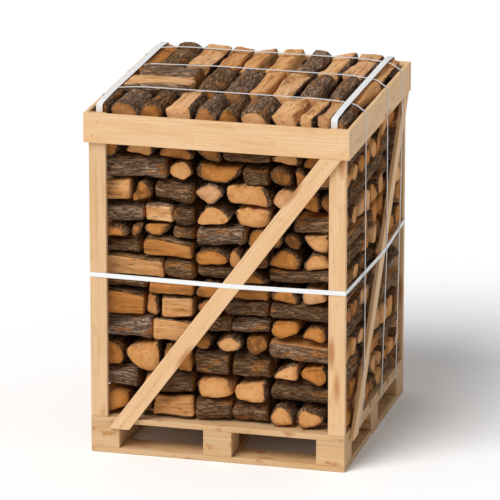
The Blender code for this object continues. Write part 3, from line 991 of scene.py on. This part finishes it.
def heaped_logs(dice, sizes):
    """The top layer: the logs of each row under the row's name."""
    rows = {}
    for row, line in TOP_ROWS.items():
        low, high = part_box(f"top_logs_{row}")
        logs = []
        start = low.x
        if row == "middle":
            start = low.x + CROSS_WIDTH
            near = low.y
            for entry in CROSS_LOGS:
                (face, tone, deep), = read_logs(entry)
                far = near + deep
                logs.append(top_log(dice, sizes, face, tone, "x", (low.x + 0.03, start), (near, far)))
                near = far
        entries = list(read_logs(line))
        spread = (high.x - start) / sum(width for face, tone, width in entries)
        for face, tone, width in entries:
            end = start + width * spread
            logs.append(top_log(dice, sizes, face, tone, "y", (start, end), (low.y, high.y)))
            start = end
        rows[row] = logs
    return rows


def log_materials(sizes):
    """Bark, split face and sawn end, made once and shared by every log."""
    names = (("bark", bark_material), ("split_wood", split_material), ("sawn_end", end_material))
    return [bpy.data.materials.get(name) or make(sizes) for name, make in names]


# Straps

def node_group(name, inputs):
    """A Geometry Nodes group with a mesh in and out and the named inputs."""
    tree = bpy.data.node_groups.new(name, "GeometryNodeTree")
    tree.interface.new_socket("Geometry", in_out="INPUT", socket_type="NodeSocketGeometry")
    for label, kind in inputs:
        tree.interface.new_socket(label, in_out="INPUT", socket_type=kind)
    tree.interface.new_socket("Geometry", in_out="OUTPUT", socket_type="NodeSocketGeometry")
    return tree, tree.nodes.new("NodeGroupInput").outputs, tree.nodes.new("NodeGroupOutput")


def apply_tree(source, tree, values, name):
    """The plain mesh that a Geometry Nodes tree makes from an object, which is then removed."""
    modifier = source.modifiers.new(tree.name, "NODES")
    modifier.node_group = tree
    for item in tree.interface.items_tree:
        if item.in_out == "INPUT" and item.name in values:
            modifier[item.identifier] = values[item.name]
    graph = bpy.context.evaluated_depsgraph_get()
    mesh = bpy.data.meshes.new_from_object(source.evaluated_get(graph))
    mesh.name = name
    bpy.data.objects.remove(source)
    return mesh


def stored(tree, geometry, name, value, kind="FLOAT"):
    """The geometry with a value stored at each of its points."""
    return add_node(tree, "GeometryNodeStoreNamedAttribute", (
        ("Geometry", geometry), ("Name", name), ("Value", value)),
        data_type=kind, domain="POINT").outputs[0]


def recalled(tree, name, kind="FLOAT"):
    return add_node(
        tree, "GeometryNodeInputNamedAttribute", (("Name", name),), data_type=kind).outputs[0]


def end_tree(tree, geometry, material, result):
    """Makes instances real and gives them their material."""
    real = add_node(tree, "GeometryNodeRealizeInstances", ((0, geometry),)).outputs[0]
    painted = add_node(tree, "GeometryNodeSetMaterial", (("Geometry", real), ("Material", material)))
    tree.links.new(painted.outputs[0], result.inputs[0])


def strap_tree():
    """Sweeps a ribbed band along a closed path."""
    tree, given, result = node_group("woven_strap", (
        ("Width", "NodeSocketFloat"), ("Thickness", "NodeSocketFloat"), ("Cord", "NodeSocketFloat"),
        ("Facing", "NodeSocketVector"), ("Material", "NodeSocketMaterial")))
    path = add_node(tree, "GeometryNodeMeshToCurve", ((0, given["Geometry"]),)).outputs[0]
    length = add_node(tree, "GeometryNodeSplineParameter").outputs["Length"]
    facing = add_node(tree, "GeometryNodeSetCurveNormal", (
        ("Curve", stored(tree, path, "run", length)), ("Normal", given["Facing"])), mode="FREE")
    band = add_node(tree, "GeometryNodeCurvePrimitiveQuadrilateral", (
        ("Width", given["Width"]), ("Height", given["Thickness"])), mode="RECTANGLE")
    cut = add_node(tree, "GeometryNodeResampleCurve", (
        ("Curve", band.outputs[0]), ("Length", product(tree, given["Cord"], 0.25))), mode="LENGTH")
    place = add_node(tree, "GeometryNodeInputPosition")
    x, y = add_node(tree, "ShaderNodeSeparateXYZ", ((0, place.outputs[0]),)).outputs[:2]
    phase = calculated(tree, "DIVIDE", product(tree, x, TURN), given["Cord"])
    dent = product(tree, calculated(tree, "SINE", phase), RIB)
    thin = product(tree, y, calculated(tree, "SUBTRACT", dent, RIB))
    lift = add_node(tree, "ShaderNodeCombineXYZ", ((1, thin),))
    ribs = add_node(tree, "GeometryNodeSetPosition", (
        ("Geometry", cut.outputs[0]), ("Offset", lift.outputs[0])))
    across = stored(tree, ribs.outputs[0], "side", calculated(tree, "DIVIDE", x, given["Width"]))
    swept = add_node(tree, "GeometryNodeCurveToMesh", ((0, facing.outputs[0]), (1, across))).outputs[0]
    both = add_node(tree, "ShaderNodeCombineXYZ", (
        (0, recalled(tree, "run")), (1, recalled(tree, "side"))))
    mapped = stored(tree, swept, "strap_place", both.outputs[0], "FLOAT_VECTOR")
    end_tree(tree, mapped, given["Material"], result)
    return tree


def taut_path(node, axis):
    """The outer line of a CAD strap with its two axes, and its middle and width along the third, axis."""
    vertices = np.array([tuple(v.co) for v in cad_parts[node].data.vertices])
    plane = [n for n in range(3) if n != axis]
    flat = sorted({(round(a, 5), round(b, 5)) for a, b in vertices[:, plane]})

    def chain(points):
        kept = []
        for point in points:
            while len(kept) > 1:
                (ax, ay), (bx, by) = kept[-2:]
                if (bx - ax) * (point[1] - ay) - (by - ay) * (point[0] - ax) > 1e-7:
                    break
                kept.pop()
            kept.append(point)
        return kept[:-1]

    outline = np.array(chain(flat) + chain(flat[::-1]))
    return outline, plane, vertices[:, axis].mean(), np.ptp(vertices[:, axis])


def inner_line(outline, distance):
    """An anticlockwise convex outline moved inwards, with mitred corners."""
    before, after = np.roll(outline, 1, 0), np.roll(outline, -1, 0)
    edges = [end - start for start, end in ((before, outline), (outline, after))]
    normals = [np.stack((edge[:, 1], -edge[:, 0]), 1) / np.linalg.norm(edge, axis=1)[:, None]
               for edge in edges]
    reach = distance / (1 + (normals[0] * normals[1]).sum(1))
    return outline - (normals[0] + normals[1]) * reach[:, None]


def strap_piece(tree, node, axis, cord, finish, slot):
    outline, plane, middle, width = taut_path(node, axis)
    line = inner_line(outline, STRAP / 2)
    points = []
    for start, end in zip(line, np.roll(line, -1, 0)):
        count = max(1, int(np.linalg.norm(end - start) / 0.06))
        points += [start + (end - start) * n / count for n in range(count)]
    vertices = np.full((len(points), 3), middle)
    vertices[:, plane] = points
    mesh = bpy.data.meshes.new("path")
    edges = [(n, (n + 1) % len(points)) for n in range(len(points))]
    mesh.from_pydata(vertices.tolist(), edges, [])
    facing = [float(n == axis) for n in range(3)]
    values = {"Width": width, "Thickness": STRAP, "Cord": cord, "Facing": facing, "Material": finish}
    swept = apply_tree(new_object("path", mesh), tree, values, node + "_woven")
    swept.shade_smooth()
    swept.set_sharp_from_angle(angle=STRAP_CREASE)
    return place_piece(swept, node + "_woven", slot, node)


# Nails

def nail_tree():
    """Sets a domed head on every point, looking the way that the point's facing says."""
    tree, given, result = node_group("nail_heads", (
        ("Head", "NodeSocketFloat"), ("Proud", "NodeSocketFloat"), ("Material", "NodeSocketMaterial")))
    points = add_node(tree, "GeometryNodeMeshToPoints", ((0, given["Geometry"]),)).outputs[0]
    facing = recalled(tree, "facing", "FLOAT_VECTOR")
    turned = add_node(
        tree, "FunctionNodeAlignRotationToVector", (("Vector", facing),), axis="Z").outputs[0]
    head = add_node(tree, "GeometryNodeMeshCylinder", (
        ("Vertices", 12), ("Radius", product(tree, given["Head"], 0.5)),
        ("Depth", product(tree, given["Proud"], 2.0))), fill_type="TRIANGLE_FAN").outputs
    place = add_node(tree, "GeometryNodeInputPosition").outputs[0]
    pull = vector_result(tree, "MULTIPLY", 0, place, (-0.16, -0.16, 0.0))
    domed = add_node(tree, "GeometryNodeSetPosition", (
        ("Geometry", head[0]), ("Selection", head["Top"]), ("Offset", pull))).outputs[0]
    placed = add_node(tree, "GeometryNodeInstanceOnPoints", (
        ("Points", points), ("Instance", domed), ("Rotation", turned))).outputs[0]
    end_tree(tree, placed, given["Material"], result)
    return tree


def frame_nails(inset, dice):
    """Places and directions of the nails through rails and braces into the posts, and into the deck."""
    def jitter():
        return dice.uniform(-0.004, 0.004)

    # Distance from the rail's end and share of its height, then distances below the top of the brace
    long_side = ("y", ((inset + 0.012, 0.22), (inset + 0.034, 0.76)), (0.014, 0.040))
    short_side = ("x", ((0.011, 0.2), (0.011, 0.5), (0.011, 0.8)), (0.008,))
    nails = []
    for side, sign, (face_axis, rows, drops) in (
            ("front", -1, long_side), ("back", 1, long_side), ("left", -1, short_side),
            ("right", 1, short_side)):
        along, across = (0, 1) if face_axis == "y" else (1, 0)
        facing = laid(face_axis, 0, sign, 0)
        low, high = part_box(f"rail_{side}")
        face = (low if sign < 0 else high)[across]
        for end in (low[along], high[along]):
            for depth, share in rows:
                at = end - math.copysign(depth, end) + (jitter() if face_axis == "y" else 0.0)
                z = low.z + (high.z - low.z) * share + jitter()
                nails.append((laid(face_axis, at, face, z), facing))
        low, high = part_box(f"brace_{side}")
        face = (low if sign < 0 else high)[across]
        slope = (high[along] - low[along] - BRACE_FOOT) / (high.z - low.z)
        for z in [high.z - drop for drop in drops] + [low.z + 0.012, low.z + 0.030]:
            at = low[along] + BRACE_FOOT / 2 + (z - low.z) * slope
            nails.append((laid(face_axis, at + jitter(), face, z), facing))
    return nails


def pallet_nails(inset, dice):
    """Places of the nails through the deck boards into the stringers."""
    nails = []
    for number in range(1, 8):
        low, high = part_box(f"deck_board_{number}")
        for x in (low.x + 0.056, 0.0, high.x - 0.056):
            for y in (low.y + inset * 1.4, high.y - inset * 1.4):
                nails.append(((x + dice.uniform(-0.02, 0.02), y, high.z), (0, 0, 1)))
    return nails


def nail_piece(tree, name, nails, sizes, finish, slot):
    places, facings = zip(*nails)
    mesh = bpy.data.meshes.new("places")
    mesh.from_pydata(places, [], [])
    layer = mesh.attributes.new("facing", "FLOAT_VECTOR", "POINT")
    layer.data.foreach_set("vector", np.array(facings, np.float32).ravel())
    values = {"Head": sizes.head, "Proud": sizes.proud, "Material": finish}
    return place_piece(apply_tree(new_object("places", mesh), tree, values, name), name, slot)


def steel_material():
    made, tree, shader = new_material("nail_steel", 0.45, 0.5)
    shader.inputs["Metallic"].default_value = 0.8
    place = add_node(tree, "ShaderNodeTexCoord").outputs["Object"]
    rust = noise(tree, place, (160, 160, 160), 3.0, 0.6)
    colour = tinted(tree, NAIL_GREY, NAIL_RUST, rust, 0.45, 0.65)
    finish_material(tree, shader, colour, rust, 0.0002, 0.4)
    return made


# Boards

def paint_boards(kinds, look, colour, wear, seed):
    """Gives the CAD boards of these kinds a pine of their own each."""
    dice = random.Random(seed)
    for name in sorted(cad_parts):
        if name.split("_")[0] in kinds:
            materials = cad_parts[name].data.materials
            materials.clear()
            materials.append(pine_material(name, look, colour, wear, dice))


# Stage

def towards(azimuth, elevation):
    """The direction from the crate to a viewer round to the right and above."""
    flat = math.cos(elevation)
    return Vector((math.sin(azimuth) * flat, -math.cos(azimuth) * flat, math.sin(elevation)))


def look_at(item, place, target):
    item.location = place
    item.rotation_euler = (Vector(target) - Vector(place)).to_track_quat("-Z", "Y").to_euler()


def lay_floor():
    mesh = bpy.data.meshes.new("floor")
    corners = [(x * FLOOR_HALF, y * FLOOR_HALF, -FLOOR_DROP)
               for x, y in ((-1, -1), (1, -1), (1, 1), (-1, 1))]
    mesh.from_pydata(corners, [], [(0, 1, 2, 3)])
    floor = new_object("floor", mesh)
    made, tree, shader = new_material("floor_white", 0.9, 0.1)
    shader.inputs["Base Color"].default_value = FLOOR_WHITE
    mesh.materials.append(made)
    floor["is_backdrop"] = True


def surround(scene, sky):
    """Pure white where the camera sees it, and a weaker white as light."""
    world = bpy.data.worlds.new("surroundings")
    world.use_nodes = True
    tree = world.node_tree
    background = tree.nodes["Background"]
    background.inputs["Color"].default_value = SKY_WHITE
    seen = add_node(tree, "ShaderNodeLightPath").outputs["Is Camera Ray"]
    tree.links.new(ranged(tree, seen, 0.0, 1.0, sky, 1.0), background.inputs["Strength"])
    scene.world = world


def hang_lamp(middle, strength):
    data = bpy.data.lights.new("soft_key", "SUN")
    data.angle = LAMP_SPREAD
    data.energy = strength
    lamp = new_object("soft_key", data)
    look_at(lamp, middle + towards(LAMP_TURN, LAMP_RISE) * 5.0, middle)


def aim_camera(scene, layout, middle):
    data = bpy.data.cameras.new("camera")
    data.lens = layout.lens
    data.sensor_width = 36.0
    data.clip_end = 200.0
    camera = new_object("camera", data)
    look_at(camera, middle + towards(layout.turn, layout.rise) * layout.distance, middle)
    scene.camera = camera


# Operators

class FIREWOOD_OT_finish_frame(bpy.types.Operator):
    """Gives the posts, rails and braces their sawn pine"""
    bl_idname = "firewood.finish_frame"
    bl_label = "Finish the crate frame"

    def execute(self, context):
        look = settings("board_finish")
        paint_boards(("post", "rail", "brace"), look, look.frame_colour, FRAME_WEAR, FRAME_SEED)
        return {"FINISHED"}


class FIREWOOD_OT_finish_pallet(bpy.types.Operator):
    """Gives the pallet's boards and blocks their rougher pine"""
    bl_idname = "firewood.finish_pallet"
    bl_label = "Finish the pallet"

    def execute(self, context):
        look = settings("board_finish")
        kinds = ("deck", "stringer", "block", "bottom")
        paint_boards(kinds, look, look.pallet_colour, PALLET_WEAR, PALLET_SEED)
        return {"FINISHED"}


class FIREWOOD_OT_stack_courses(bpy.types.Operator):
    """Stacks the split logs between the posts, course by course"""
    bl_idname = "firewood.stack_courses"
    bl_label = "Stack the firewood"

    def execute(self, context):
        sizes = settings("log_sizes")
        dice = random.Random(sizes.seed)
        materials = log_materials(sizes)
        piles = [Pile() for course in COURSES]
        for log in stacked_logs(dice, sizes):
            index = int((log["centre"][2] - WOOD_BASE) / COURSE_HEIGHT)
            grow_log(piles[min(index, len(piles) - 1)], dice, sizes, log, inside_crate)
        for node, pile in zip(COURSES, piles):
            pile.build(node.replace("firewood_course", "logs_course"), node, materials)
        return {"FINISHED"}


class FIREWOOD_OT_heap_logs(bpy.types.Operator):
    """Lays the heaped top layer of logs"""
    bl_idname = "firewood.heap_logs"
    bl_label = "Heap the top logs"

    def execute(self, context):
        sizes = settings("log_sizes")
        dice = random.Random(sizes.seed + 1)
        materials = log_materials(sizes)
        for row, logs in heaped_logs(dice, sizes).items():
            pile = Pile()
            for log in logs:
                grow_log(pile, dice, sizes, log, under_straps)
            pile.build(f"logs_top_{row}", f"top_logs_{row}", materials)
        return {"FINISHED"}


class FIREWOOD_OT_fit_straps(bpy.types.Operator):
    """Pulls the woven straps tight round the crate"""
    bl_idname = "firewood.fit_straps"
    bl_label = "Fit the straps"

    def execute(self, context):
        look = settings("strap_finish")
        tree = strap_tree()
        white = strap_material("woven_white", look.wide_colour)
        grey = strap_material("woven_grey", look.narrow_colour)
        strap_piece(tree, "level_strap", 2, look.cord, white, "white_strap")
        for side in ("left", "right"):
            strap_piece(tree, f"wide_strap_{side}", 0, look.cord, white, "white_strap")
        for row in ROWS:
            strap_piece(tree, f"narrow_strap_{row}", 1, look.cord, grey, "grey_strap")
        return {"FINISHED"}


class FIREWOOD_OT_drive_nails(bpy.types.Operator):
    """Sets the nail heads on the frame and the pallet"""
    bl_idname = "firewood.drive_nails"
    bl_label = "Drive the nails"

    def execute(self, context):
        sizes = settings("nail_sizes")
        tree = nail_tree()
        steel = steel_material()
        dice = random.Random(NAIL_SEED)
        nail_piece(tree, "nails_frame", frame_nails(sizes.inset, dice), sizes, steel, "frame_pine")
        nail_piece(tree, "nails_pallet", pallet_nails(sizes.inset, dice), sizes, steel, "pallet_pine")
        return {"FINISHED"}


class FIREWOOD_OT_set_stage(bpy.types.Operator):
    """Puts down the white floor, the soft light and the camera"""
    bl_idname = "firewood.set_stage"
    bl_label = "Set the stage"

    def execute(self, context):
        layout = settings("stage_layout")
        low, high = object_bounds()
        middle = Vector([(a + b) / 2 for a, b in zip(low, high)])
        lay_floor()
        surround(context.scene, layout.sky)
        hang_lamp(middle, layout.key)
        aim_camera(context.scene, layout, middle)
        context.scene.view_settings.view_transform = "Standard"
        return {"FINISHED"}


class FIREWOOD_PT_panel(bpy.types.Panel):
    """Lists the steps that dress the crate"""
    bl_idname = "FIREWOOD_PT_panel"
    bl_label = "Firewood"
    bl_space_type = "VIEW_3D"
    bl_region_type = "UI"
    bl_category = "Firewood"

    def draw(self, context):
        for group in GROUPS:
            box = self.layout.box()
            for name in group.__annotations__:
                box.prop(getattr(context.scene, GROUPS[group]), name)
        for operator in OPERATORS:
            self.layout.operator(operator.bl_idname)


GROUPS = {
    LogSizes: "log_sizes",
    BoardFinish: "board_finish",
    StrapFinish: "strap_finish",
    NailSizes: "nail_sizes",
    StageLayout: "stage_layout",
}
OPERATORS = (
    FIREWOOD_OT_finish_frame,
    FIREWOOD_OT_finish_pallet,
    FIREWOOD_OT_stack_courses,
    FIREWOOD_OT_heap_logs,
    FIREWOOD_OT_fit_straps,
    FIREWOOD_OT_drive_nails,
    FIREWOOD_OT_set_stage,
)


def register():
    for group, name in GROUPS.items():
        bpy.utils.register_class(group)
        setattr(bpy.types.Scene, name, PointerProperty(type=group))
    for item in (*OPERATORS, FIREWOOD_PT_panel):
        bpy.utils.register_class(item)


def unregister():
    for item in (FIREWOOD_PT_panel, *reversed(OPERATORS)):
        bpy.utils.unregister_class(item)
    for group, name in GROUPS.items():
        delattr(bpy.types.Scene, name)
        bpy.utils.unregister_class(group)


def main():
    register()
    for operator in OPERATORS:
        family, name = operator.bl_idname.split(".")
        getattr(getattr(bpy.ops, family), name)()


if __name__ == "__main__":
    main()
